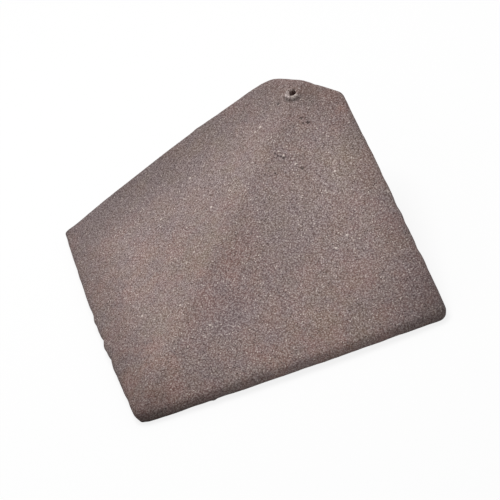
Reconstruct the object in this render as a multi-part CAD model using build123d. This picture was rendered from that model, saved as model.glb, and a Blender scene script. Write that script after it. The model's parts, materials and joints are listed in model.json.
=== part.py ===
"""Concrete hip tile: two wings folded along a rounded arris, with one nail hole at the head.

The tile is drawn with its arris along +Y, from the tail point at the origin up to the head, and its wings
falling to each side. It is then tilted until it rests on its tail point and its two outer corners.
"""

import os
from math import acos, asin, atan, cos, degrees, radians, sin, sqrt, tan

from build123d import *

# Roof
ROOF_PITCH = radians(26.0)  # slope of the two roof faces that meet at the hip
SLOPE_LENGTH = 265.0  # tail edge to head, measured up the roof face

# Outline of each wing, measured in its own plane
WING_WIDTH = 284.5  # tail edge, from the arris to the outer corner
TAIL_BOW = 2.0  # the tail edges bow outwards by this much at their middle
HEAD_HALF_WIDTH = 39.5  # head edge, from the arris to its corner
TAIL_POINT_RADIUS = 17.0
OUTER_CORNER_RADIUS = 9.5
HEAD_CORNER_RADIUS = 10.0

# Section of the plate
THICKNESS = 13.0
ARRIS_RADIUS = 28.0  # outer face, across the fold
TAIL_ARCH = 1.2  # rise of a wing's section above its chord, at the tail
HEAD_ARCH = 5.0  # the same, at the head
ARRIS_CAMBER = 3.8  # rise of the arris above the line from tail to head
TOP_RIM_RADIUS = 7.5
BOTTOM_RIM_CHAMFER = 1.2

# Nail hole, and the collar that the punch pushed up round it
HOLE_RADIUS = 3.0
HOLE_FROM_HEAD = 17.5
COLLAR_CREST_RADIUS = 5.2
COLLAR_HEIGHT = 2.0  # crest above the arris
COLLAR_RADIUS = 9.0  # where the outer flank meets the arris
MOUTH_DEPTH = 0.8  # the hollow inside the crest ends this far below the arris

# Angles and lengths that follow
tail_angle = atan(1.0 / cos(ROOF_PITCH))  # between the arris and a tail edge, in the wing's plane
wing_fall = acos(cos(ROOF_PITCH) ** 2) / 2.0  # slope of each wing down from the arris
arris_pitch = atan(tan(ROOF_PITCH) / sqrt(2.0))  # slope of the arris on the roof
arris_length = SLOPE_LENGTH / sin(tail_angle)
wing_reach = WING_WIDTH * sin(tail_angle)  # widest reach of a wing, square to the arris
tail_edge_radius = (WING_WIDTH**2 / 4.0 + TAIL_BOW**2) / (2.0 * TAIL_BOW)
overdraw = 2.0 * THICKNESS  # the plate is drawn this far past its outline, and trimmed back
hole_y = arris_length - HOLE_FROM_HEAD
collar_root = THICKNESS / 2.0  # the collar is rooted this far down in the plate


def crest(y):
    """Height of the arris at a distance from the tail point. It is nil at the tail and at the head."""
    return ARRIS_CAMBER * (1.0 - (2.0 * y / arris_length - 1.0) ** 2)


def section(y, arch):
    """Section of the plate square to the arris. Each face is an arc over the arris and one down each wing."""
    wing_radius = wing_reach**2 / (8.0 * arch)
    start_slope = wing_fall - asin(wing_reach / (2.0 * wing_radius))
    arris_centre = Vector(0, crest(y) - ARRIS_RADIUS)
    wing_centre = arris_centre - Vector(sin(start_slope), cos(start_slope)) * (wing_radius - ARRIS_RADIUS)
    end_slope = asin((wing_reach * cos(wing_fall) + overdraw - wing_centre.X) / wing_radius)

    def on_face(centre, radius, slope):
        return centre + Vector(sin(slope), cos(slope)) * radius

    def face_points(depth):
        """Ends and middles of the arcs of one face, from the left end to the right end."""
        right = [
            on_face(arris_centre, ARRIS_RADIUS - depth, start_slope),
            on_face(wing_centre, wing_radius - depth, (start_slope + end_slope) / 2.0),
            on_face(wing_centre, wing_radius - depth, end_slope),
        ]
        left = [Vector(-p.X, p.Y) for p in reversed(right)]
        return [*left, on_face(arris_centre, ARRIS_RADIUS - depth, 0.0), *right]

    top = face_points(0.0)
    underside = face_points(THICKNESS)
    with BuildSketch(Plane((0, y, 0), x_dir=(1, 0, 0), z_dir=(0, -1, 0))) as drawn:
        with BuildLine():
            for points in (top, underside):
                ThreePointArc(*points[0:3])
                ThreePointArc(*points[2:5])
                ThreePointArc(*points[4:7])
            Line(top[0], underside[0])
            Line(top[-1], underside[-1])
        make_face()
    return drawn.sketch


def folded_plate():
    """The plate before trimming, lofted through sections at the tail, the middle and the head."""
    stations = (
        (-overdraw, TAIL_ARCH),
        (arris_length / 2.0, (TAIL_ARCH + HEAD_ARCH) / 2.0),
        (arris_length + overdraw, HEAD_ARCH),
    )
    return loft([section(y, arch) for y, arch in stations])


def wing_directions(side):
    """Directions in one wing's plane: outward from the arris, along the tail edge, and up the slope."""
    outward = Vector(side * cos(wing_fall), 0, -sin(wing_fall))
    arris = Vector(0, 1, 0)
    tail_edge = arris * cos(tail_angle) + outward * sin(tail_angle)
    up_slope = arris * sin(tail_angle) - outward * cos(tail_angle)
    return outward, tail_edge, up_slope


def trim(plate):
    """Cuts the plate to its outline, square to the wings: two bowed tails, two straight sides and the head."""
    head = Vector(0, arris_length, 0)
    for side in (1, -1):
        outward, tail_edge, up_slope = wing_directions(side)
        outer_corner = tail_edge * WING_WIDTH
        head_corner = head + outward * HEAD_HALF_WIDTH
        square = tail_edge.cross(up_slope)
        bow_centre = outer_corner / 2.0 + up_slope * (tail_edge_radius - TAIL_BOW)
        bowed = Plane(bow_centre, x_dir=tail_edge, z_dir=square) * Cylinder(tail_edge_radius, 2.0 * WING_WIDTH)
        inward = square.cross(head_corner - outer_corner)
        plate = split(plate & bowed, Plane(outer_corner, z_dir=inward), keep=Keep.TOP)
    return split(plate, Plane(head, z_dir=(0, -1, 0)), keep=Keep.TOP)


def round_corners(plate):
    """Rounds the upright edges where the trimmed sides meet."""
    corners = [(Vector(0, 0, 0), TAIL_POINT_RADIUS)]
    for side in (1, -1):
        outward, tail_edge, _ = wing_directions(side)
        corners.append((tail_edge * WING_WIDTH, OUTER_CORNER_RADIUS))
        corners.append((Vector(0, arris_length, 0) + outward * HEAD_HALF_WIDTH, HEAD_CORNER_RADIUS))
    for corner, radius in corners:
        uprights = [e for e in plate.edges() if e.length < 2.0 * THICKNESS and abs((e % 0.5).Z) > 0.5]
        nearest = min(uprights, key=lambda e: (e.center() - corner).length)
        plate = plate.fillet(radius, [nearest])
    return plate


def rim(plate, facing):
    """Edges that the upper face (facing 1) or the underside (facing -1) shares with the upright sides."""
    broad = [f for f in plate.faces() if f.normal_at(f.center()).Z * facing > 0.5]
    sides = [f for f in plate.faces() if abs(f.normal_at(f.center()).Z) < 0.5]
    side_middles = [e @ 0.5 for f in sides for e in f.edges()]
    edges = [e for f in broad for e in f.edges()]
    return [e for e in edges if any((e @ 0.5 - middle).length < 0.001 for middle in side_middles)]


def collar():
    """Ring round the nail hole, with a hollow mouth. Its flank runs on down where the arris falls away."""
    foot_radius = 1.3 * COLLAR_RADIUS
    foot_depth = ARRIS_RADIUS - sqrt(ARRIS_RADIUS**2 - foot_radius**2) + MOUTH_DEPTH
    with BuildSketch(Plane((0, hole_y, crest(hole_y)), x_dir=(1, 0, 0), z_dir=(0, -1, 0))) as profile:
        with BuildLine():
            ThreePointArc((HOLE_RADIUS, -MOUTH_DEPTH), (COLLAR_CREST_RADIUS, COLLAR_HEIGHT), (COLLAR_RADIUS, 0))
            Polyline(
                (COLLAR_RADIUS, 0),
                (foot_radius, -foot_depth),
                (foot_radius, -collar_root),
                (HOLE_RADIUS, -collar_root),
                (HOLE_RADIUS, -MOUTH_DEPTH),
            )
        make_face()
    return revolve(profile.sketch, Axis((0, hole_y, 0), (0, 0, 1)))


def punch(plate):
    """Adds the nail hole, square to the line from tail to head. A blind seat keeps the collar's mouth hollow."""
    seat = Cylinder(COLLAR_CREST_RADIUS, 2.0 * collar_root)
    drill = Cylinder(HOLE_RADIUS, 2.0 * (THICKNESS + ARRIS_CAMBER))
    return plate - Pos(0, hole_y, crest(hole_y)) * seat + collar() - Pos(0, hole_y, 0) * drill


def stand(tile):
    """Tilts the tile until its tail point and outer corners rest at one level, centred over the origin."""
    tilt = arris_pitch
    for _ in range(3):
        points = [Vector(*v).rotate(Axis.X, degrees(tilt)) for v in tile.vertices()]
        tail = min((p for p in points if abs(p.X) < ARRIS_RADIUS), key=lambda p: p.Z)
        corner = min((p for p in points if p.X > wing_reach / 2.0), key=lambda p: p.Z)
        tilt += atan((tail.Z - corner.Z) / (corner.Y - tail.Y))
    tilted = Rot(X=degrees(tilt)) * tile
    box = tilted.bounding_box()
    return Pos(-box.center().X, -box.center().Y, -box.min.Z) * tilted


def main():
    plate = round_corners(trim(folded_plate()))
    plate = plate.fillet(TOP_RIM_RADIUS, rim(plate, 1))
    plate = plate.chamfer(BOTTOM_RIM_CHAMFER, None, rim(plate, -1))
    tile = stand(punch(plate))
    tile.label = "hip_tile"
    os.makedirs("parts", exist_ok=True)
    export_step(tile, "parts/hip_tile.step")


main()
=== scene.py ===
"""Looks of the concrete hip tile: its cast and sanded surface with every unevenness, and a plain studio.

The surface is worked out in the tile's own frame, in millimetres. The arris runs along +Y from the tail
point to the head, and the wings fall to each side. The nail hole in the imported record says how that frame
lies in the row's, which is in metres.
"""

import json
from math import acos, atan, atan2, cos, pi, radians, sin, tan

import bpy
import numpy as np
from mathutils import Matrix, Vector, noise
from mathutils.geometry import delaunay_2d_cdt


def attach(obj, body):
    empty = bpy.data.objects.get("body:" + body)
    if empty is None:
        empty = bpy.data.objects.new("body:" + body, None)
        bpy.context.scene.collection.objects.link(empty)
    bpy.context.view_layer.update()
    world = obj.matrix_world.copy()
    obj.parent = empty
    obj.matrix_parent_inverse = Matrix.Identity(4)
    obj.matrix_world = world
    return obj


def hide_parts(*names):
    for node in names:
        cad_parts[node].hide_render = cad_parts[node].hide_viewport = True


METRE = 1000.0  # in millimetres
MILLIMETRE = 0.001  # in metres

# Roof and outline, as in the CAD model
ROOF_PITCH = radians(26.0)
SLOPE_LENGTH = 265.0  # tail edge to head, measured up the roof face
WING_WIDTH = 284.5  # tail edge, from the arris to the outer corner
TAIL_BOW = 2.0  # the tail edges bow outwards by this much at their middle
HEAD_HALF_WIDTH = 39.5  # head edge, from the arris to its corner

# The outline's own unevenness
SIDE_BOW = 0.4  # the side edges bow outwards a little too
LEAST_RADIUS = 0.8  # of a corner, when the outline is moved in
CORNER_RADII = {
    "tail_point": 17.0,
    "right_outer": 9.5,
    "right_head": 8.5,
    "left_head": 26.0,
    "left_outer": 3.0,
}

# Section, as in the CAD model, but with a sharper fold
THICKNESS = 13.0
ARRIS_RADIUS = 21.0  # outer face, across the fold
TAIL_ARCH = 1.2  # rise of a wing's section above its chord, at the tail
HEAD_ARCH = 5.0  # the same, at the head
ARRIS_CAMBER = 3.8  # rise of the arris above the line from tail to head
TOP_RIM = 7.5  # radius of the upper rim
BOTTOM_RIM = 1.2  # chamfer of the lower one

# Nail hole, and the collar that the punch pushed up round it. It is highest at a lip on its tail side.
HOLE_RADIUS = 3.0
HOLE_FROM_HEAD = 17.5
MOUTH_DEPTH = 0.8  # the hollow inside the crest ends this far below the arris
LIP_ANGLE = radians(-20.0)  # from the way to the tail, towards the right wing
COLLAR_HEIGHT = 2.2  # the lip's crest above the arris
COLLAR_LEAN = 0.38  # beside the lip the crest is lower by this share, and across from it by twice as much
COLLAR_CREST = 4.9  # radius of the crest
CREST_SHIFT = 0.8  # the crest lies further out towards the lip, and nearer on the other side
COLLAR_RADIUS = 8.4  # where the outer flank ends
COLLAR_LUMPS = (3.5, 3)  # size and seed of its unevenness
UNEVEN_HEIGHT = 0.25  # share of the crest's height that the lumps add or take
UNEVEN_FOOT = 0.07  # share of the flank's radius that they add or take
UNEVEN_CREST = 0.2  # how far they move the crest in or out
MOAT_RADIUS = 12.0  # the sand sinks a little round the lip's foot, out to here
MOAT_DEPTH = 0.5
MOAT_SPREAD = (-0.4, 0.6)  # it begins and is full where points lie this far towards the lip

# Unevenness of the cast surface: half height, size of its lumps, seed
CAST_WAVES = ((0.30, 55.0, 4), (0.10, 20.0, 7))  # all over the tile
SAND_LUMPS = ((0.14, 11.0, 5), (0.10, 2.6, 6))  # on its sanded face
NOISE_SHIFT = (17.3, 5.1, 9.7)  # from each seed to the next

# Mesh: its spacing, and how far its loose points keep from the loops and the finer parts
EDGE_STEP = 1.3
TOP_STEP = 1.38
TOP_MARGIN = 0.7 * TOP_STEP
SPOT_STEP = 0.42
SPOT_MARGIN = 0.4 * TOP_STEP
UNDERSIDE_STEP = 3.2
UNDERSIDE_MARGIN = 0.6 * UNDERSIDE_STEP
EXIT_MARGIN = 0.5 * UNDERSIDE_STEP
CURVE_POINTS = 80  # of an edge, before it is divided into steps
CORNER_POINTS = 14
RIM_POINTS = 9
HOLE_POINTS = 60
HOLE_RINGS = (HOLE_RADIUS, 3.25, 3.6, 4.0, 4.5, 5.0, 5.5, 6.1, 6.7, 7.3, 7.9, 8.5, 9.2, 10.0, 11.0, 12.1)
EXIT_RINGS = (HOLE_RADIUS, 3.8)
WALL_LEVELS = 6
WALL_SKIN_STEP = 0.4  # between the levels of the hole's wall, where the skin is laid flat

# Angles and lengths that follow
tail_angle = atan(1.0 / cos(ROOF_PITCH))  # between the arris and a tail edge, in the wing's plane
wing_fall = acos(cos(ROOF_PITCH) ** 2) / 2.0  # slope of each wing down from the arris
arris_length = SLOPE_LENGTH / sin(tail_angle)
wing_reach = WING_WIDTH * sin(tail_angle)  # widest reach of a wing, square to the arris
overdraw = 2.0 * THICKNESS  # the plate is lofted over this much more than the arris, at each end
hole = np.array((0.0, arris_length - HOLE_FROM_HEAD))

# Directions of the right wing: outward from the arris, along the tail edge, up the slope, and off the face
outward = np.array((cos(wing_fall), 0.0, -sin(wing_fall)))
along_arris = np.array((0.0, 1.0, 0.0))
tail_edge = along_arris * cos(tail_angle) + outward * sin(tail_angle)
up_slope = along_arris * sin(tail_angle) - outward * cos(tail_angle)
off_face = np.array((sin(wing_fall), 0.0, cos(wing_fall)))

# The right wing in its own plane: its corners, the run of its side edge, and the way in from that edge
arris_run = np.array((cos(tail_angle), sin(tail_angle)))
off_arris = np.array((sin(tail_angle), -cos(tail_angle)))
outer_corner = np.array((WING_WIDTH, 0.0))
head_corner = arris_run * arris_length + HEAD_HALF_WIDTH * off_arris
side_run = (head_corner - outer_corner) / np.linalg.norm(head_corner - outer_corner)
side_inward = np.array((-side_run[1], side_run[0]))

mirror = np.array((-1.0, 1.0))


def crest(y):
    """Height of the arris at a distance from the tail point."""
    return ARRIS_CAMBER * (1.0 - (2.0 * y / arris_length - 1.0) ** 2)


def height(x, y, depth=0.0):
    """Height of the face that lies depth under the outer one: arcs over the arris and down each wing."""
    arch = TAIL_ARCH + (HEAD_ARCH - TAIL_ARCH) * (y + overdraw) / (arris_length + 2.0 * overdraw)
    wing_radius = wing_reach**2 / (8.0 * arch)
    start = wing_fall - np.arcsin(wing_reach / (2.0 * wing_radius))
    arris_z = crest(y) - ARRIS_RADIUS
    wing_x = -np.sin(start) * (wing_radius - ARRIS_RADIUS)
    wing_z = arris_z - np.cos(start) * (wing_radius - ARRIS_RADIUS)
    reach = np.abs(x)
    radius = ARRIS_RADIUS - depth
    over_arris = arris_z + np.sqrt(np.maximum(radius**2 - reach**2, 0.0))
    down_wing = wing_z + np.sqrt((wing_radius - depth) ** 2 - (reach - wing_x) ** 2)
    return np.where(reach < radius * np.sin(start), over_arris, down_wing)


def with_height(plan, depth=0.0):
    """Plan points with the height of the face that lies depth under the outer one."""
    return np.column_stack((plan, height(plan[:, 0], plan[:, 1], depth)))


def face_normals(plan):
    """Normals of the outer face at plan points."""
    x, y = plan.T
    step = 0.05
    slope_x = (height(x + step, y) - height(x - step, y)) / (2.0 * step)
    slope_y = (height(x, y + step) - height(x, y - step)) / (2.0 * step)
    normals = np.stack((-slope_x, -slope_y, np.ones(len(plan))), axis=1)
    return normals / np.linalg.norm(normals, axis=1, keepdims=True)


def wing_to_plan(points):
    """Plan points of the outer face at wing coordinates: along the tail edge, and up the slope."""
    flat = np.outer(points[:, 0], tail_edge) + np.outer(points[:, 1], up_slope)
    found = flat
    for _ in range(4):
        found = flat + np.outer(with_height(found[:, :2]) @ off_face, off_face)
    return found[:, :2]


def plan_to_wing(plan):
    """Wing coordinates of plan points, both wings measured alike."""
    surface = with_height(np.column_stack((np.abs(plan[:, 0]), plan[:, 1])))
    return np.stack((surface @ tail_edge, surface @ up_slope), axis=1)


def ramp(value, start, end):
    """Smooth rise from 0 at start to 1 at end, whichever of the two is higher."""
    share = np.clip((value - start) / (end - start), 0.0, 1.0)
    return share * share * (3.0 - 2.0 * share)


def bell(distance, half_width):
    """Soft hump: 1 in its middle, and a little over a third at its half width."""
    return np.exp(-((distance / half_width) ** 2))


def distances(points, place):
    """Distance of each point from a place."""
    return np.linalg.norm(points - place, axis=1)


def laid_flat(plan):
    """Plan points as points in space, at height nil."""
    return np.column_stack((plan, np.zeros(len(plan))))


def value_noise(points, size, seed):
    """Smooth noise from about -1 to 1 at each point, with lumps of about that size."""
    shift = Vector([seed * part for part in NOISE_SHIFT])
    return np.array([noise.noise(Vector(point) / size + shift) for point in points])


def plan_noise(plan, size, seed):
    """The same at plan points."""
    return value_noise(laid_flat(plan), size, seed)


def layered_noise(points, layers):
    """Sum of layers of noise, each given by its half height, size and seed."""
    return sum(half_height * value_noise(points, size, seed) for half_height, size, seed in layers)


def bow_out(share, bow):
    """How far a shallow curve stands out of its chord, at a share of the way along it."""
    return 4.0 * bow * share * (1.0 - share)


def bowed(start, end, bow, way_out, count=CURVE_POINTS):
    """Points from start to end along a shallow curve that bows out at its middle."""
    share = np.linspace(0.0, 1.0, count)[:, None]
    return start + (end - start) * share + way_out * bow_out(share, bow)


def plan_edges(inset):
    """The five edges in plan, in turn from the tail point and round the right wing, moved in by inset."""
    tail = np.array((inset / tan(tail_angle), inset))
    side_start = outer_corner + side_inward * inset
    outer = side_start + side_run * (inset - side_start[1]) / side_run[1]
    head = side_start + side_run * (arris_length - inset - side_start @ arris_run) / (side_run @ arris_run)
    right_tail = wing_to_plan(bowed(tail, outer, TAIL_BOW, np.array((0.0, -1.0))))
    right_side = wing_to_plan(bowed(outer, head, SIDE_BOW, -side_inward))
    head_start = right_side[-1]
    return {
        "right_tail": right_tail,
        "right_side": right_side,
        "head": bowed(head_start, head_start * mirror, 0.0, np.zeros(2), CURVE_POINTS // 2),
        "left_side": right_side[::-1] * mirror,
        "left_tail": right_tail[::-1] * mirror,
    }


def lengths_along(line):
    """Length of a line up to each of its points."""
    return np.concatenate(([0.0], np.cumsum(np.linalg.norm(np.diff(line, axis=0), axis=1))))


def points_along(line, lengths):
    """Points of a line at given lengths along it."""
    run = lengths_along(line)
    return np.stack([np.interp(lengths, run, line[:, axis]) for axis in (0, 1)], axis=1)


def turn_between(before, after):
    """Angle by which the outline turns from one edge to the next."""
    arriving = before[-1] - before[-2]
    leaving = after[1] - after[0]
    return acos(arriving @ leaving / np.linalg.norm(arriving) / np.linalg.norm(leaving))


def corner_curve(before, after, cut, radius, turn):
    """Rounded corner, close to an arc, from a cut's length before the corner to as much after it."""
    nudge = 0.5
    arrive_run = lengths_along(before)[-1] - cut
    arriving = points_along(before, np.array((arrive_run - nudge, arrive_run)))
    leaving = points_along(after, np.array((cut, cut + nudge)))
    handle = 4.0 / 3.0 * tan(turn / 4.0) * radius / nudge
    start = arriving[1]
    end = leaving[0]
    start_handle = start + (arriving[1] - arriving[0]) * handle
    end_handle = end - (leaving[1] - leaving[0]) * handle
    share = np.linspace(0.0, 1.0, CORNER_POINTS)[:, None]
    rest = 1.0 - share
    inner = 3.0 * rest * share * (rest * start_handle + share * end_handle)
    return rest**3 * start + inner + share**3 * end


def outline(inset):
    """Closed outline in plan, with rounded corners, moved in by inset. Every inset gives as many points."""
    edges = list(plan_edges(inset).values())
    full_lengths = [lengths_along(edge)[-1] for edge in plan_edges(0.0).values()]
    turns = [turn_between(before, after) for before, after in zip(edges[-1:] + edges[:-1], edges)]
    radii = [max(radius - inset, LEAST_RADIUS) for radius in CORNER_RADII.values()]
    cuts = [radius * tan(turn / 2.0) for radius, turn in zip(radii, turns)]
    points = []
    for index, edge in enumerate(edges):
        points.append(corner_curve(edges[index - 1], edge, cuts[index], radii[index], turns[index]))
        next_cut = cuts[(index + 1) % len(edges)]
        count = round(full_lengths[index] / EDGE_STEP)
        run = np.linspace(cuts[index], lengths_along(edge)[-1] - next_cut, count)[1:-1]
        points.append(points_along(edge, run))
    return np.concatenate(points)


# Bumps and dents of the outline, edge by edge: share of the way along it, half width, way out
EDGE_MARKS = {
    "right_tail": (
        (0.01, 5.0, -0.45),
        (0.04, 22.0, -0.50),
        (0.18, 8.0, -0.50),
        (0.25, 2.2, 0.80),
        (0.27, 16.0, -0.65),
        (0.41, 20.0, -0.40),
        (0.54, 7.0, -0.30),
        (0.60, 5.0, 0.30),
        (0.73, 12.0, -0.35),
        (0.83, 9.0, -0.50),
        (0.93, 18.0, -0.65),
    ),
    "right_side": (
        (0.12, 16.0, 0.40),
        (0.24, 7.0, 0.50),
        (0.285, 4.5, -0.45),
        (0.40, 6.0, -0.40),
        (0.44, 6.0, 0.42),
        (0.48, 5.5, -0.62),
        (0.605, 4.0, -0.30),
        (0.70, 12.0, 0.35),
        (0.78, 5.0, 0.35),
        (0.96, 8.0, 0.35),
    ),
    "head": (
        (0.33, 2.5, -0.50),
        (0.93, 4.0, 0.35),
        (0.78, 13.0, 0.90),
    ),
    "left_side": (
        (0.10, 8.0, 0.40),
        (0.30, 7.0, 0.70),
        (0.34, 5.0, 1.20),
        (0.45, 90.0, 0.45),
        (0.98, 6.0, 1.20),
    ),
    "left_tail": (
        (0.06, 10.0, 0.40),
        (0.20, 9.0, -0.50),
        (0.29, 12.0, -0.30),
        (0.44, 7.0, -0.60),
        (0.48, 4.0, 0.80),
        (0.53, 3.5, 0.40),
        (0.583, 4.5, -1.20),
        (0.617, 4.0, 0.80),
        (0.68, 4.5, -1.10),
        (0.73, 5.0, 0.40),
        (0.885, 6.0, -0.60),
    ),
}
WANDER = 0.12  # half height of the rest of the outline's unevenness
WANDER_LUMPS = (6.0, 2)  # its size and seed


def edge_wander(line):
    """How far each point of the full outline stands out of its place."""
    wander = WANDER * plan_noise(line, *WANDER_LUMPS)
    edges = plan_edges(0.0)
    for name, marks in EDGE_MARKS.items():
        edge = edges[name]
        edge_length = lengths_along(edge)[-1]
        for share, half_width, way_out in marks:
            place = points_along(edge, np.array((share * edge_length,)))
            wander += way_out * bell(distances(line, place), half_width)
    return wander


def outward_of(line):
    """Directions out of a closed outline that runs anticlockwise."""
    run = np.roll(line, -1, axis=0) - np.roll(line, 1, axis=0)
    run /= np.linalg.norm(run, axis=1, keepdims=True)
    return np.stack((run[:, 1], -run[:, 0]), axis=1)


def skin_of(plan):
    """Places on the tile's skin, laid out flat: the wings' true width, with the rim and the sides beyond."""
    return np.column_stack((plan[:, 0] / cos(wing_fall), plan[:, 1]))


def rim_profile():
    """Inset and depth of each ring, from the upper face over the rim and down the side to the underside."""
    turns = np.linspace(0.0, pi / 2.0, RIM_POINTS)
    rim = [(TOP_RIM * (1.0 - sin(turn)), TOP_RIM * (1.0 - cos(turn))) for turn in turns]
    side = [(0.0, (TOP_RIM + THICKNESS) / 2.0), (0.0, THICKNESS - BOTTOM_RIM)]
    lower_rim = [(BOTTOM_RIM / 2.0, THICKNESS - BOTTOM_RIM / 2.0), (BOTTOM_RIM, THICKNESS)]
    return np.array(rim + side + lower_rim)


def rim_rings():
    """Rings of points along the rim's profile, and their places on the flat skin."""
    full = outline(0.0)
    shift = outward_of(full) * edge_wander(full)[:, None]
    first = outline(TOP_RIM) + shift
    profile = rim_profile()
    rings = []
    skins = []
    for (inset, depth), run in zip(profile, lengths_along(profile)):
        plan = outline(inset) + shift
        rings.append(with_height(plan) - face_normals(plan) * depth)
        skins.append(skin_of(first + outward_of(first) * run))
    return rings, skins


def is_inside(points, line):
    """Whether each point lies inside a closed line, by counting the crossings to its right."""
    inside = np.zeros(len(points), dtype=bool)
    for start, end in zip(line, np.roll(line, -1, axis=0)):
        crosses = (start[1] > points[:, 1]) != (end[1] > points[:, 1])
        if crosses.any():
            share = (points[crosses, 1] - start[1]) / (end[1] - start[1])
            inside[crosses] ^= points[crosses, 0] < start[0] + share * (end[0] - start[0])
    return inside


def lattice(low, high, step):
    """Triangular grid of points over a box. Boxes with the same step share one grid."""
    row_step = step * sin(pi / 3.0)
    points = []
    for row in range(int(low[1] / row_step), int(high[1] / row_step) + 2):
        first = int(low[0] / step) - 1
        x = (np.arange(first, int(high[0] / step) + 2) + (row % 2) / 2.0) * step
        points.append(np.column_stack((x, np.full(len(x), row * row_step))))
    return np.concatenate(points)


def grid_inside(line, step, margin):
    """Grid points that lie inside a closed line, by about the margin."""
    points = lattice(line.min(axis=0), line.max(axis=0), step)
    return points[is_inside(points, line - outward_of(line) * margin)]


def away_from(points, place, distance):
    """The points that lie further than a distance from a place."""
    return points[distances(points, place) > distance]


def hole_ring(radius):
    """Ring of plan points round the hole's middle."""
    turn = np.arange(HOLE_POINTS) * 2.0 * pi / HOLE_POINTS
    return hole + radius * np.column_stack((np.cos(turn), np.sin(turn)))


def triangulate(loops, loose):
    """Triangles over the area inside the first loop and outside the others, through all the loose points."""
    points = np.concatenate([*loops, loose])
    edges = []
    start = 0
    for loop in loops:
        numbers = np.arange(start, start + len(loop))
        edges += list(zip(numbers.tolist(), np.roll(numbers, -1).tolist()))
        start += len(loop)
    same_point = 1e-6
    made = delaunay_2d_cdt([Vector(point) for point in points], edges, [], 0, same_point)
    assert len(made[0]) == len(points), "the triangulation moved or joined points"
    triangles = np.array(made[2])
    centres = points[triangles].mean(axis=1)
    keep = is_inside(centres, loops[0])
    for loop in loops[1:]:
        keep &= ~is_inside(centres, loop)
    return triangles[keep]


def polar(plan, angle):
    """Distance of plan points from the hole's middle, and how far each lies towards an angle, from -1 to 1.

    The angle is measured from the way to the tail, towards the right wing.
    """
    least_radius = 0.1
    radius = np.maximum(distances(plan, hole), least_radius)
    return radius, (plan - hole) @ np.array((sin(angle), -cos(angle))) / radius


def collar_rise(plan):
    """Height of the collar above the arris. It is a lip on its tail side, with a moat beyond."""
    radius, lipward = polar(plan, LIP_ANGLE)
    uneven = plan_noise(plan, *COLLAR_LUMPS)
    top = COLLAR_HEIGHT * (1.0 - COLLAR_LEAN + COLLAR_LEAN * lipward) * (1.0 + UNEVEN_HEIGHT * uneven)
    foot = COLLAR_RADIUS * (1.0 + UNEVEN_FOOT * uneven)
    crest_radius = COLLAR_CREST + CREST_SHIFT * lipward + UNEVEN_CREST * uneven
    inner = np.clip((radius - HOLE_RADIUS) / (crest_radius - HOLE_RADIUS), 0.0, 1.0)
    rise_inside = -MOUTH_DEPTH + (top + MOUTH_DEPTH) * np.sin(inner * pi / 2.0)
    rise_outside = top * ramp(radius, foot, crest_radius)
    moat = MOAT_DEPTH * ramp(lipward, *MOAT_SPREAD)
    moat *= ramp(radius, crest_radius, foot)
    moat *= ramp(radius, MOAT_RADIUS, foot)
    return np.where(radius < crest_radius, rise_inside, rise_outside - moat)


# Bare cement on the collar's crest, where the sand is worn off, with a painted highlight on the crest and
# its inner slope
BARE_AND_LIT_SHARE = 0.85
BARE_AND_LIT_PATCHES = (2.8, 9)  # size and seed
BARE_AND_LIT_PATCHINESS = 1.3  # share that the patches add or take
BARE_AND_LIT_SPREAD = (-0.6875, 0.5625)  # it begins and is full where points lie this far towards the lip
BARE_AND_LIT_SHIFT = 0.3  # its ring lies this far inside the crest
BARE_AND_LIT_HALF_WIDTH = 1.6

# Painted shadow in the moat at the lip's foot, strongest to the right of the lip
LIP_SHADOW = 0.50
LIP_SHADOW_ANGLE = radians(25.0)  # from the way to the tail, towards the right wing
LIP_SHADOW_SPREAD = (-0.1, 0.9)  # it begins and is full where points lie this far towards that angle
LIP_SHADOW_HALF_WIDTH = 1.5


def bare_and_lit_crest(plan):
    """Share of pale colour on the collar's crest: bare cement, and a painted highlight. It is patchy, and on
    the lip alone.
    """
    radius, lipward = polar(plan, LIP_ANGLE)
    crest_radius = COLLAR_CREST + CREST_SHIFT * lipward
    patchy = BARE_AND_LIT_SHARE + BARE_AND_LIT_PATCHINESS * plan_noise(plan, *BARE_AND_LIT_PATCHES)
    ring = bell(radius - crest_radius + BARE_AND_LIT_SHIFT, BARE_AND_LIT_HALF_WIDTH)
    return np.clip(patchy * ramp(lipward, *BARE_AND_LIT_SPREAD) * ring, 0.0, 1.0)


def lip_foot_shadow(plan):
    """Share of its lightness that the sand keeps round the collar, under the painted shadow at the lip's
    foot.
    """
    radius, shadowward = polar(plan, LIP_SHADOW_ANGLE)
    return 1.0 - LIP_SHADOW * ramp(shadowward, *LIP_SHADOW_SPREAD) * bell(radius - COLLAR_RADIUS, LIP_SHADOW_HALF_WIDTH)


# Margins of the sand: share of its lightness lost at the edge, width, drop
MARGINS = {
    "right_tail": (0.06, 40.0, 0.8),
    "left_tail": (0.25, 62.0, 0.8),
    "right_side": (0.20, 38.0, 0.5),
    "left_side": (0.33, 80.0, 0.6),
    "head": (0.26, 48.0, 0.5),
}

# Painted shade on the sides: share of their lightness lost towards the foot, and a painted shadow added near
# the tail point, which rests on the floor
SIDE_FOOT_SHADE = 0.04  # all round
TAIL_POINT_SHADOW = 0.60  # added near the tail point
TAIL_SHADOW_REACH = 100.0
SIDE_FOOT_SANDED = 0.2  # how sanded the sides still are there

# Shade beside the fold: share of the lightness lost, and where it begins and ends, off the arris
FOLD_SHADE = 0.07
FOLD_SHADE_BEGINS = (1.0, 6.0)
FOLD_SHADE_ENDS = (72.0, 12.0)


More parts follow.
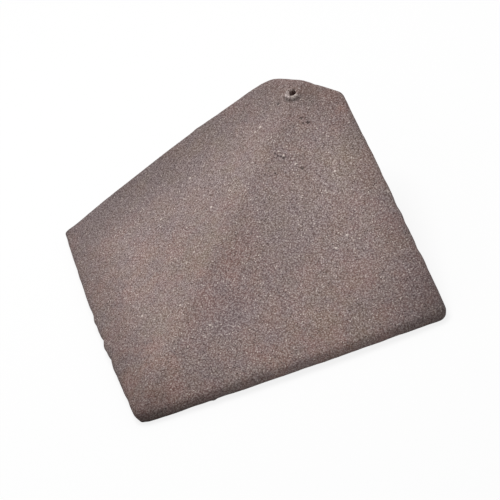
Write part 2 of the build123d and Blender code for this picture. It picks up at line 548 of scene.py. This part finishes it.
def edge_distances(plan):
    """Distance of plan points from each edge, measured on the wings."""
    wing = plan_to_wing(plan)
    share = np.clip(wing[:, 0] / WING_WIDTH, 0.0, 1.0)
    own_tail = wing[:, 1] + bow_out(share, TAIL_BOW)
    other_tail = wing[:, 1] + 2.0 * (wing @ off_arris) * cos(tail_angle)
    side = (wing - outer_corner) @ side_inward
    on_right = plan[:, 0] >= 0.0
    return {
        "right_tail": np.where(on_right, own_tail, other_tail),
        "left_tail": np.where(on_right, other_tail, own_tail),
        "right_side": np.where(on_right, side, np.inf),
        "left_side": np.where(on_right, np.inf, side),
        "head": arris_length - plan[:, 1],
    }


def fold_shade(plan):
    """The sand lies a little darker just right of the arris, and fades back up the wing."""
    return 1.0 - FOLD_SHADE * ramp(plan[:, 0], *FOLD_SHADE_BEGINS) * ramp(plan[:, 0], *FOLD_SHADE_ENDS)


# Stains: plan place, reach, strength. A negative one is the reverse: paler, greyer or bluer. Among the dark
# ones are painted shade and painted light, each marked.
DARK_STAINS_AND_SHADE = (
    # painted shade at the right outer corner, which turns away from the light
    ((200.0, 194.0), 52.0, 0.33),
    # painted shadow round the tail point, where it rests on the floor
    ((10.0, 5.0), 45.0, 0.24),
    ((2.0, -2.0), 14.0, 0.24),
    ((50.0, 45.0), 28.0, 0.10),
    ((-52.0, 45.0), 20.0, 0.10),
    ((5.0, 62.0), 30.0, -0.08),
    ((20.0, 170.0), 34.0, 0.04),
    ((5.0, 325.0), 40.0, 0.06),
    ((-70.0, 130.0), 45.0, -0.07),
    ((-110.0, 165.0), 25.0, -0.04),
    ((-85.0, 258.0), 32.0, 0.05),
    ((-18.0, 262.0), 28.0, -0.03),
    ((-90.0, 288.0), 20.0, -0.08),
    ((-172.0, 212.0), 20.0, -0.07),
    ((30.0, 240.0), 22.0, -0.05),
    ((135.0, 246.0), 20.0, 0.08),
    ((60.0, 300.0), 15.0, -0.05),
    ((20.0, 58.0), 15.0, -0.05),
    ((-60.0, 80.0), 13.0, -0.04),
    ((-30.0, 158.0), 20.0, 0.03),
    ((-50.0, 330.0), 25.0, -0.08),
    ((75.0, 275.0), 36.0, -0.07),
    ((130.0, 225.0), 40.0, -0.07),
    # painted light: the right wing's outer part made paler
    ((95.0, 160.0), 50.0, -0.02),
)
RUSTY_STAINS = (
    ((6.0, 150.0), 34.0, 0.30),
    ((-4.0, 42.0), 34.0, 0.50),
    ((85.0, 112.0), 42.0, 0.26),
    ((140.0, 150.0), 30.0, 0.25),
    ((-85.0, 150.0), 42.0, 0.15),
    ((45.1, 336.6), 5.0, 0.70),
    ((25.0, 335.0), 20.0, 0.20),
    ((55.0, 140.0), 22.0, -0.15),
    ((-140.0, 148.0), 18.0, -0.20),
    ((-40.0, 132.0), 22.0, -0.15),
    ((-80.0, 250.0), 52.0, -0.30),
    ((-160.0, 215.0), 35.0, -0.30),
    ((52.0, 235.0), 40.0, -0.30),
    ((38.0, 122.0), 20.0, -0.35),
    ((52.0, 195.0), 20.0, -0.25),
    ((-10.0, 312.0), 22.0, -0.25),
    ((30.0, 70.0), 22.0, -0.20),
)
OLIVE_STAINS = (
    ((-12.0, 173.0), 28.0, 0.28),
    ((-24.0, 95.0), 24.0, 0.20),
    ((-60.0, 280.0), 20.0, 0.12),
    ((60.0, 203.0), 16.0, 0.15),
    ((125.0, 145.0), 32.0, 0.20),
    ((70.0, 290.0), 22.0, 0.25),
    ((-8.0, 255.0), 20.0, 0.25),
    ((30.0, 125.0), 24.0, -0.30),
    ((172.0, 208.0), 22.0, -0.25),
    ((-175.0, 200.0), 25.0, -0.12),
)


def stained(plan, stains):
    """Strength of the stains at plan points: each is soft, and strongest in its middle."""
    strength = np.zeros(len(plan))
    for place, reach, middle in stains:
        strength += middle * bell(distances(plan, place), reach)
    return strength


def margin_shade(plan):
    """Share of its lightness that the sand keeps near the edges. Of two margins, the darker counts."""
    kept = np.ones(len(plan))
    for name, distance in edge_distances(plan).items():
        lost, width, _ = MARGINS[name]
        kept = np.minimum(kept, 1.0 - lost * (1.0 - ramp(distance, 0.0, width)))
    return kept


def margin_drop(plan):
    """How far the upper face is worn down towards the edges."""
    dropped = np.zeros(len(plan))
    for name, distance in edge_distances(plan).items():
        _, width, drop = MARGINS[name]
        dropped += drop * np.clip(1.0 - distance / width, 0.0, 1.0) ** 2
    return dropped


def side_shade(plan, sanded):
    """Share of its lightness that a side keeps, under painted shade. It is darker at its foot, and most near
    the tail point.
    """
    near_tail = bell(distances(plan, (0.0, 0.0)), TAIL_SHADOW_REACH)
    return 1.0 - (SIDE_FOOT_SHADE + TAIL_POINT_SHADOW * near_tail) * np.where(sanded > 0.0, 1.0 - sanded, 0.0)


# Single pits and coarse pale grains in the upper face: plan place, radius
PITS = (
    ((-8.9, 325.5), 1.4),
    ((25.5, 315.3), 1.6),
    ((18.2, 317.0), 1.2),
    ((21.9, 312.9), 1.0),
    ((20.4, 275.0), 1.3),
    ((17.2, 275.6), 1.0),
    ((14.3, 275.3), 0.9),
    ((11.4, 276.4), 0.8),
    ((19.4, 258.5), 1.0),
    ((39.0, 271.1), 1.3),
)
PALE_GRAINS = (
    ((-16.1, 300.3), 1.3),
    ((-18.9, 294.8), 1.0),
    ((-7.5, 324.6), 0.8),
    ((19.2, 277.3), 0.9),
    ((13.5, 279.5), 0.8),
    ((-68.9, 244.6), 1.1),
    ((-26.7, 214.7), 1.1),
    ((-79.7, 201.0), 1.0),
    ((-21.0, 168.1), 1.0),
    ((113.5, 277.2), 1.1),
    ((99.3, 224.6), 1.1),
    ((95.5, 209.7), 1.0),
    ((-46.4, 101.8), 1.1),
    ((25.6, 104.4), 1.0),
    ((-7.9, 114.5), 1.0),
    ((35.2, 312.4), 0.9),
    ((32.6, 273.0), 1.0),
    ((66.2, 278.3), 1.0),
    ((5.0, 4.9), 1.2),
    ((3.6, 333.9), 1.3),
    ((5.2, 336.7), 1.2),
)
PIT_DEPTH = 0.8
PIT_SHADE = 0.55  # share of the lightness lost in a pit
GRAIN_RISE = 0.35
SPOT_REACH = 1.5  # a spot fades out between half its radius and this many times its radius


def spotted(plan, spots):
    """Share, from 0 to 1, by which plan points lie in a spot."""
    share = np.zeros(len(plan))
    for place, radius in spots:
        share = np.maximum(share, ramp(distances(plan, place) / radius, SPOT_REACH, SPOT_REACH - 1.0))
    return share


def kept_lightness(plan, sanded):
    """Share of its lightness that the concrete keeps at each point, under all that darkens it: margins,
    pits, stains, and painted shade.
    """
    on_face = margin_shade(plan) * fold_shade(plan) * lip_foot_shadow(plan)
    kept = 1.0 + sanded * (on_face - 1.0) - PIT_SHADE * sanded * spotted(plan, PITS)
    return kept * side_shade(plan, sanded) * (1.0 - stained(plan, DARK_STAINS_AND_SHADE))


def filled(line, radii, grids):
    """Plan points and triangles between a closed line and the hole, through wider rings and the grids.

    The line's points come first, and then the hole's.
    """
    rings = [hole_ring(radius) for radius in radii]
    loose = np.concatenate([*rings[1:], *grids])
    faces = triangulate([line, rings[0]], loose)
    return np.concatenate([line, rings[0], loose]), faces


def upper_face(line):
    """Plan points and triangles of the upper face, inside the line, finer at the hole and the spots."""
    grid = grid_inside(line, TOP_STEP, TOP_MARGIN)
    grid = away_from(grid, hole, HOLE_RINGS[-1] + TOP_MARGIN)
    fine = []
    for place, radius in PITS + PALE_GRAINS:
        if np.linalg.norm(hole - place) < HOLE_RINGS[-1]:
            continue  # the hole's rings are fine enough
        reach = SPOT_REACH * radius + SPOT_STEP
        grid = away_from(grid, place, reach + SPOT_MARGIN)
        box = lattice(np.array(place) - reach, np.array(place) + reach, SPOT_STEP)
        fine.append(box[distances(box, place) < reach])
    fine = np.unique(np.round(np.concatenate(fine), 4), axis=0)
    return filled(line, HOLE_RINGS, [grid, fine])


def under_face(line):
    """Plan points and triangles of the underside, inside the line."""
    grid = grid_inside(line, UNDERSIDE_STEP, UNDERSIDE_MARGIN)
    grid = away_from(grid, hole, EXIT_RINGS[-1] + EXIT_MARGIN)
    return filled(line, EXIT_RINGS, [grid])


def band_faces(starts, count, outside):
    """Triangles between closed rings of points, given the number of each ring's first point."""
    around = np.arange(count)
    beyond = np.roll(around, -1) if outside else np.roll(around, 1)
    faces = []
    for upper, lower in zip(starts, starts[1:]):
        faces.append(np.column_stack((around + upper, around + lower, beyond + lower)))
        faces.append(np.column_stack((around + upper, beyond + lower, beyond + upper)))
    return np.concatenate(faces)


def vertex_normals(points, faces):
    """Normals at the points of a mesh of triangles, each the mean of its triangles' by area."""
    corners = points[faces]
    across = np.cross(corners[:, 1] - corners[:, 0], corners[:, 2] - corners[:, 0])
    normals = np.zeros_like(points)
    for corner in range(3):
        np.add.at(normals, faces[:, corner], across)
    return normals / np.linalg.norm(normals, axis=1, keepdims=True)


def cast_points():
    """Points and triangles of the whole tile, how sanded each point is, and its place on the flat skin."""
    rings, rim_skins = rim_rings()
    top_plan, top_faces = upper_face(rings[0][:, :2])
    under_plan, under_faces = under_face(rings[-1][:, :2])
    top = with_height(top_plan)
    top[:, 2] += collar_rise(top_plan)
    underside = with_height(under_plan, THICKNESS)

    rim_count = len(rings[0])
    hole_run = slice(rim_count, rim_count + HOLE_POINTS)
    mouth = top[hole_run]
    way_down = underside[hole_run] - mouth
    wall = [mouth + way_down * level / WALL_LEVELS for level in range(1, WALL_LEVELS)]

    first_rim = len(top)
    first_under = first_rim + rim_count * (len(rings) - 2)
    first_wall = first_under + len(underside)
    points = np.concatenate([top, *rings[1:-1], underside, *wall])
    rim_starts = [0, *range(first_rim, first_under, rim_count), first_under]
    wall_starts = [rim_count, *range(first_wall, len(points), HOLE_POINTS), first_under + rim_count]
    faces = np.concatenate(
        [
            top_faces,
            under_faces[:, ::-1] + first_under,
            band_faces(rim_starts, rim_count, True),
            band_faces(wall_starts, HOLE_POINTS, False),
        ]
    )
    sanded = np.zeros(len(points))
    sanded[:first_rim] = 1.0
    down_the_side = np.linspace(1.0, SIDE_FOOT_SANDED, len(rings) - 2)
    sanded[first_rim:first_under] = np.repeat(down_the_side, rim_count)
    wall_radii = [HOLE_RADIUS - WALL_SKIN_STEP * level for level in range(1, WALL_LEVELS)]
    wall_skins = [skin_of(hole_ring(radius)) for radius in wall_radii]
    skin = np.concatenate([skin_of(top_plan), *rim_skins[1:-1], skin_of(under_plan), *wall_skins])
    return points, faces, sanded, skin


def roughened(points, faces, sanded):
    """The points moved along their normals: broad waves, lumps of sand, and worn margins and pits on top."""
    rough = layered_noise(points, CAST_WAVES)
    rough += sanded * layered_noise(points, SAND_LUMPS)
    moved = points + vertex_normals(points, faces) * rough[:, None]
    plan = points[:, :2]
    spots = GRAIN_RISE * spotted(plan, PALE_GRAINS) - PIT_DEPTH * spotted(plan, PITS)
    moved[:, 2] += sanded * (spots - margin_drop(plan))
    return moved


def in_row(points, to_row):
    """Points of the tile's own frame in the row's, in metres. The three feet are flat where they stand."""
    turned = np.column_stack((points, np.ones(len(points)))) @ np.array(to_row).T
    rowed = turned[:, :3] * MILLIMETRE
    rowed[:, 2] = np.maximum(rowed[:, 2], 0.0)
    return rowed


def add_attribute(mesh, name, values):
    """Gives the mesh a number or a vector at each point."""
    kind, key = ("FLOAT", "value") if values.ndim == 1 else ("FLOAT_VECTOR", "vector")
    attribute = mesh.attributes.new(name, kind, "POINT")
    attribute.data.foreach_set(key, values.astype(np.float32).ravel())


def build_tile(to_row):
    """The tile's object, with what its material needs to know at each point."""
    points, faces, sanded, skin = cast_points()
    plan = points[:, :2]
    mesh = bpy.data.meshes.new("tile_cast")
    mesh.from_pydata(in_row(roughened(points, faces, sanded), to_row).tolist(), [], faces.tolist())
    mesh.shade_smooth()
    add_attribute(mesh, "kept_colour", kept_lightness(plan, sanded))
    # the collar's pale crest: bare cement, and a painted highlight
    add_attribute(mesh, "bare_and_lit", sanded * bare_and_lit_crest(plan))
    add_attribute(mesh, "pale", sanded * spotted(plan, PALE_GRAINS))
    add_attribute(mesh, "rusty", stained(plan, RUSTY_STAINS))
    add_attribute(mesh, "olive", stained(plan, OLIVE_STAINS))
    add_attribute(mesh, "skin", laid_flat(skin))
    tile = bpy.data.objects.new("tile_cast", mesh)
    bpy.context.collection.objects.link(tile)
    return tile


def tile_frame_to_row(record):
    """Matrix from the tile's own frame to the row's, in millimetres, from the nail hole that both know."""
    mount = record["mounts"][0]
    axis = mount["axis"]
    tilt = atan2(-axis[1], axis[2])
    top = crest(hole[1]) - MOUTH_DEPTH
    middle = Vector((0.0, hole[1], top - mount["dims"]["length_mm"] / 2.0))
    turned = Matrix.Rotation(tilt, 4, "X")
    place = Vector(mount["pos_m"]) * METRE - turned @ middle
    return Matrix.Translation(place) @ turned


def grey(level):
    """Grey of that lightness, as a node takes it."""
    return (level, level, level, 1.0)


class Nodes:
    """A new material, whose nodes are added and linked by short calls."""

    def __init__(self, name):
        self.material = bpy.data.materials.new(name)
        self.material.use_nodes = True
        self.tree = self.material.node_tree
        self.shader = self.tree.nodes["Principled BSDF"]

    def add(self, kind, inputs=None, **settings):
        """Adds a node. An input is a value, or another node's output, which is linked."""
        node = self.tree.nodes.new(kind)
        for name, value in settings.items():
            setattr(node, name, value)
        for name, value in (inputs or {}).items():
            socket = node.inputs[name]
            if isinstance(value, bpy.types.NodeSocket):
                self.tree.links.new(value, socket)
            else:
                socket.default_value = value
        return node

    def math(self, operation, first, second):
        return self.add("ShaderNodeMath", {0: first, 1: second}, operation=operation).outputs[0]

    def total(self, first, *others):
        for other in others:
            first = self.math("ADD", first, other)
        return first

    def product(self, first, *others):
        for other in others:
            first = self.math("MULTIPLY", first, other)
        return first

    def ramp(self, value, low, high, to_low=0.0, to_high=1.0, smooth=True):
        """Maps a value between low and high to one between to_low and to_high, and holds it there beyond."""
        inputs = {"Value": value, "From Min": low, "From Max": high, "To Min": to_low, "To Max": to_high}
        kind = "SMOOTHSTEP" if smooth else "LINEAR"
        return self.add("ShaderNodeMapRange", inputs, interpolation_type=kind).outputs["Result"]

    def noise(self, place, size, detail=2.0, roughness=0.5):
        """Noise at a place in metres, with lumps of about that size in millimetres."""
        inputs = {"Vector": place, "Scale": METRE / size, "Detail": detail, "Roughness": roughness}
        return self.add("ShaderNodeTexNoise", inputs).outputs["Fac"]

    def cells(self, skin, size):
        """Distance from the middle of each cell of the flat skin, and three random numbers for each."""
        inputs = {"Vector": skin, "Scale": 1.0 / size}
        node = self.add("ShaderNodeTexVoronoi", inputs, voronoi_dimensions="2D")
        chance = self.add("ShaderNodeSeparateColor", {0: node.outputs["Color"]})
        return node.outputs["Distance"], chance.outputs

    def mix(self, share, first, second, blend="MIX"):
        """Mixes two colours, which a Mix node takes at its sockets 6 and 7."""
        node = self.add("ShaderNodeMix", {0: share, 6: first, 7: second}, data_type="RGBA", blend_type=blend)
        return node.outputs[2]

    def scaled(self, colour, level):
        """The colour times a level that other nodes give."""
        level_grey = self.add("ShaderNodeCombineColor", {0: level, 1: level, 2: level}).outputs[0]
        return self.mix(1.0, colour, level_grey, "MULTIPLY")

    def attribute(self, name, output="Fac"):
        """What the mesh knows at each point under a name: a number, or a vector."""
        return self.add("ShaderNodeAttribute", attribute_name=name).outputs[output]


# Colours of the concrete, of its bare cement, which also paints the highlight on the collar's crest, and of
# its grains
PLUM_GREY = (0.293, 0.2285, 0.2275, 1.0)
RUST = (0.358, 0.2305, 0.208, 1.0)
OLIVE = (0.308, 0.241, 0.190, 1.0)
CEMENT_AND_HIGHLIGHT = (0.74, 0.635, 0.605, 1.0)
GRAIN_GREY = (0.248, 0.2235, 0.217, 1.0)
QUARTZ = (0.80, 0.69, 0.63, 1.0)
IRONSTONE = (0.06, 0.045, 0.04, 1.0)

# Sizes in the concrete, in millimetres
GRAIN_SIZE = 0.9
COARSE_GRAIN_SIZE = 1.75
SPECK_SIZE = 2.1
DUST_SIZE = 0.6
PATCH_SIZE = 5.0
RUST_CLOUD_SIZE = 25.0
OLIVE_CLOUD_SIZE = 18.0
OLIVE_CLOUD_SHIFT = (1.3, 0.4, 2.2)  # metres, so that the two clouds differ
GRAIN_RELIEF = 0.35  # height of the bump

# Ramps of the concrete: low and high of a value, and what they are mapped to where that isn't 0 and 1
STAIN_EDGE = (0.3, 0.7, 0.5, 1.5)  # of a cloud, which breaks up the stains
RUST_CLOUD = (0.34, 0.66, 0.05, 0.56)
OLIVE_CLOUD = (0.34, 0.66, 0.03, 0.31)
RUST_HUE = (0.0, 1.0, -0.18, 0.18)  # of a grain's chance
OLIVE_HUE = (0.0, 1.0, -0.08, 0.08)
GRAIN_LEVEL = (0.0, 1.0, 0.76, 1.48)
COARSE_LEVEL = (0.12, 0.62, 1.45, 0.75)  # of the distance from a coarse grain's middle
DUST_LEVEL = (0.2, 0.8, 0.80, 1.20)
PATCH_LEVEL = (0.25, 0.75, 0.95, 1.05)
SPECK_EDGE = (0.22, 0.30, 1.0, 0.0)
QUARTZ_CHANCE = (0.91, 0.97)
IRONSTONE_CHANCE = (0.88, 0.94)
GRAIN_DOME = (0.0, 0.7, 1.0, 0.0)

# Other shares of the concrete
GRAIN_POWER = 1.4  # pale grains are rarer than dark ones
BARE_AND_LIT_COVER = 0.9  # of the sand's colour, by bare cement and painted highlight
QUARTZ_COVER = 0.95
IRONSTONE_COVER = 0.8
DUST_RELIEF = 0.6


def cloud(n, place, size):
    """Noise with more detail, for stains."""
    return n.noise(place, size, detail=4.0, roughness=0.6)


def stain_share(n, name, clouds, cloud_ramp, chance, hue_ramp):
    """How far a colour takes over: by its stains, whose edges break up, by clouds, and grain by grain."""
    broken = n.product(n.attribute(name), n.ramp(clouds, *STAIN_EDGE))
    return n.total(broken, n.ramp(clouds, *cloud_ramp), n.ramp(chance, *hue_ramp, smooth=False))


def stained_colour(n, place, chance):
    """Plum grey, turned rusty and olive in places."""
    other_place = n.add("ShaderNodeMapping", {"Vector": place, "Location": OLIVE_CLOUD_SHIFT}).outputs[0]
    rust_clouds = cloud(n, place, RUST_CLOUD_SIZE)
    olive_clouds = cloud(n, other_place, OLIVE_CLOUD_SIZE)
    rusty = stain_share(n, "rusty", rust_clouds, RUST_CLOUD, chance[1], RUST_HUE)
    olive = stain_share(n, "olive", olive_clouds, OLIVE_CLOUD, chance[2], OLIVE_HUE)
    return n.mix(olive, n.mix(rusty, PLUM_GREY, RUST), OLIVE)


def grain_level(n, place, skin, chance, dust):
    """Lightness of the sand, about 1. Each grain has its own, and the gaps between coarse ones are dark."""
    coarse_distance, _ = n.cells(skin, COARSE_GRAIN_SIZE)
    return n.product(
        n.ramp(n.math("POWER", chance, GRAIN_POWER), *GRAIN_LEVEL, smooth=False),
        n.ramp(coarse_distance, *COARSE_LEVEL),
        n.ramp(dust, *DUST_LEVEL, smooth=False),
        n.ramp(n.noise(place, PATCH_SIZE), *PATCH_LEVEL, smooth=False),
    )


def with_specks(n, skin, colour):
    """The colour with rare quartz and ironstone grains, and the coarse pale grains that the mesh knows."""
    distance, chance = n.cells(skin, SPECK_SIZE)
    spot = n.ramp(distance, *SPECK_EDGE)
    bright = n.product(spot, n.ramp(chance[0], *QUARTZ_CHANCE), QUARTZ_COVER)
    bright = n.math("MAXIMUM", bright, n.attribute("pale"))
    dark = n.product(spot, n.ramp(chance[1], *IRONSTONE_CHANCE), IRONSTONE_COVER)
    return n.mix(dark, n.mix(bright, colour, QUARTZ), IRONSTONE)


def concrete():
    """Sand-faced concrete: packed grains, faint stains, a few bright and dark grains, darker margins, and
    painted shade and highlight.
    """
    n = Nodes("sanded_concrete")
    place = n.add("ShaderNodeTexCoord").outputs["Object"]
    skin = n.attribute("skin", "Vector")
    distance, chance = n.cells(skin, GRAIN_SIZE)
    dust = n.noise(place, DUST_SIZE)
    level = grain_level(n, place, skin, chance[0], dust)

    # each grain's level adds or takes a little of the grains' own grey
    colour = stained_colour(n, place, chance)
    colour = n.mix(1.0, colour, n.scaled(GRAIN_GREY, n.math("SUBTRACT", level, 1.0)), "ADD")
    # bare cement, and the painted highlight, on the collar's crest
    colour = n.mix(n.product(n.attribute("bare_and_lit"), BARE_AND_LIT_COVER), colour, n.scaled(CEMENT_AND_HIGHLIGHT, level))
    colour = with_specks(n, skin, colour)
    # darker margins, pits and stains, with the painted shade that the mesh carries
    colour = n.scaled(colour, n.attribute("kept_colour"))

    # relief: domed grains over finer grit
    relief = n.total(n.ramp(distance, *GRAIN_DOME), n.product(dust, DUST_RELIEF))
    bumped = {"Height": relief, "Distance": GRAIN_RELIEF * MILLIMETRE, "Strength": 0.9}
    bump = n.add("ShaderNodeBump", bumped)
    n.tree.links.new(colour, n.shader.inputs["Base Color"])
    n.tree.links.new(bump.outputs["Normal"], n.shader.inputs["Normal"])
    n.shader.inputs["Roughness"].default_value = 0.95
    n.shader.inputs["Specular IOR Level"].default_value = 0.25
    return n.material


# Floor
FLOOR_HALF_SIZE = 6.0
FLOOR_GLOW = 0.84  # share of its own light in what the camera sees, so that the tile's shadow stays faint
FLOOR_BOUNCE = 0.55  # its grey, as light from the tile meets it


def floor_material():
    """White to the camera, with the tile's shadow. To the tile it is a plain pale floor."""
    n = Nodes("pale_floor")
    n.tree.nodes.remove(n.shader)
    seen = n.add("ShaderNodeBsdfDiffuse", {"Color": grey(1.0)}).outputs[0]
    glow = n.add("ShaderNodeEmission", {"Color": grey(1.0), "Strength": 1.0}).outputs[0]
    to_camera = n.add("ShaderNodeMixShader", {0: FLOOR_GLOW, 1: seen, 2: glow}).outputs[0]
    unseen = n.add("ShaderNodeBsdfDiffuse", {"Color": grey(FLOOR_BOUNCE)}).outputs[0]
    rays = n.add("ShaderNodeLightPath")
    shown = n.math("MAXIMUM", rays.outputs["Is Camera Ray"], rays.outputs["Is Glossy Ray"])
    shown = n.math("MAXIMUM", shown, rays.outputs["Is Transmission Ray"])
    mixed = n.add("ShaderNodeMixShader", {0: shown, 1: unseen, 2: to_camera}).outputs[0]
    output = n.tree.nodes["Material Output"]
    n.tree.links.new(mixed, output.inputs["Surface"])
    return n.material


def add_floor():
    """Level floor that the tile stands on."""
    size = FLOOR_HALF_SIZE
    mesh = bpy.data.meshes.new("floor")
    corners = [(-size, -size, 0.0), (size, -size, 0.0), (size, size, 0.0), (-size, size, 0.0)]
    mesh.from_pydata(corners, [], [(0, 1, 2, 3)])
    floor = bpy.data.objects.new("floor", mesh)
    floor.data.materials.append(floor_material())
    bpy.context.collection.objects.link(floor)


# Studio
LAMP_DIRECTION = Vector((-0.20, 0.12, 0.97))
LAMP_DISTANCE = 1.6
LAMP_SIZE = 1.0
LAMP_POWER = 17.5
WORLD_STRENGTH = 0.36


def add_light():
    """Round soft lamp overhead, aimed at the tile."""
    lamp = bpy.data.lights.new("overhead", "AREA")
    lamp.shape = "DISK"
    lamp.size = LAMP_SIZE
    lamp.energy = LAMP_POWER
    lit = bpy.data.objects.new("overhead", lamp)
    lit.location = LAMP_DIRECTION.normalized() * LAMP_DISTANCE
    lit.rotation_euler = LAMP_DIRECTION.to_track_quat("Z", "Y").to_euler()
    bpy.context.collection.objects.link(lit)


def add_world():
    """Soft light from all round, white where the camera sees it."""
    world = bpy.data.worlds.new("studio")
    bpy.context.scene.world = world
    world.use_nodes = True
    tree = world.node_tree
    rays = tree.nodes.new("ShaderNodeLightPath")
    strength = tree.nodes.new("ShaderNodeMapRange")
    strength.inputs["To Min"].default_value = WORLD_STRENGTH
    strength.inputs["To Max"].default_value = 1.0
    tree.links.new(rays.outputs["Is Camera Ray"], strength.inputs["Value"])
    background = tree.nodes["Background"]
    background.inputs["Color"].default_value = grey(1.0)
    tree.links.new(strength.outputs["Result"], background.inputs["Strength"])


# Camera, fitted to the outline in the photograph
CAMERA_AZIMUTH = radians(41.137)
CAMERA_ELEVATION = radians(38.263)
CAMERA_ROLL = radians(-16.766)
CAMERA_TARGET = Vector((0.005934, 0.024119, 0.035061))
CAMERA_DISTANCE = 3.5625
CAMERA_LENS = 293.916
CAMERA_REACH = 50.0


def add_camera():
    """Camera at the photograph's angle, rolled as the photograph is."""
    level = cos(CAMERA_ELEVATION)
    back = Vector((sin(CAMERA_AZIMUTH) * level, -cos(CAMERA_AZIMUTH) * level, sin(CAMERA_ELEVATION)))
    side = Vector((0.0, 0.0, 1.0)).cross(back).normalized()
    over = back.cross(side)
    right = side * cos(CAMERA_ROLL) + over * sin(CAMERA_ROLL)
    up = over * cos(CAMERA_ROLL) - side * sin(CAMERA_ROLL)
    camera = bpy.data.objects.new("camera", bpy.data.cameras.new("camera"))
    camera.data.lens = CAMERA_LENS
    camera.data.clip_end = CAMERA_REACH
    turned = Matrix((right, up, back)).transposed().to_4x4()
    camera.matrix_world = Matrix.Translation(CAMERA_TARGET + back * CAMERA_DISTANCE) @ turned
    bpy.context.collection.objects.link(camera)
    bpy.context.scene.camera = camera


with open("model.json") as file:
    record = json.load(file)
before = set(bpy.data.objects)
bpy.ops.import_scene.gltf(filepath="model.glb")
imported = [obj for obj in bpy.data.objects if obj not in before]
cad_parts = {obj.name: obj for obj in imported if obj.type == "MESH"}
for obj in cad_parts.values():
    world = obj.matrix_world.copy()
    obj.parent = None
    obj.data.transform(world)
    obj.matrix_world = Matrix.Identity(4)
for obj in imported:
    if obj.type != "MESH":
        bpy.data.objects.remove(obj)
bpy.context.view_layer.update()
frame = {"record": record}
tile = build_tile(tile_frame_to_row(frame["record"]))
tile.data.materials.append(concrete())
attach(tile, "root")
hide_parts("hip_tile")
add_floor()
add_light()
add_world()
add_camera()
bpy.context.scene.view_settings.view_transform = "Standard"
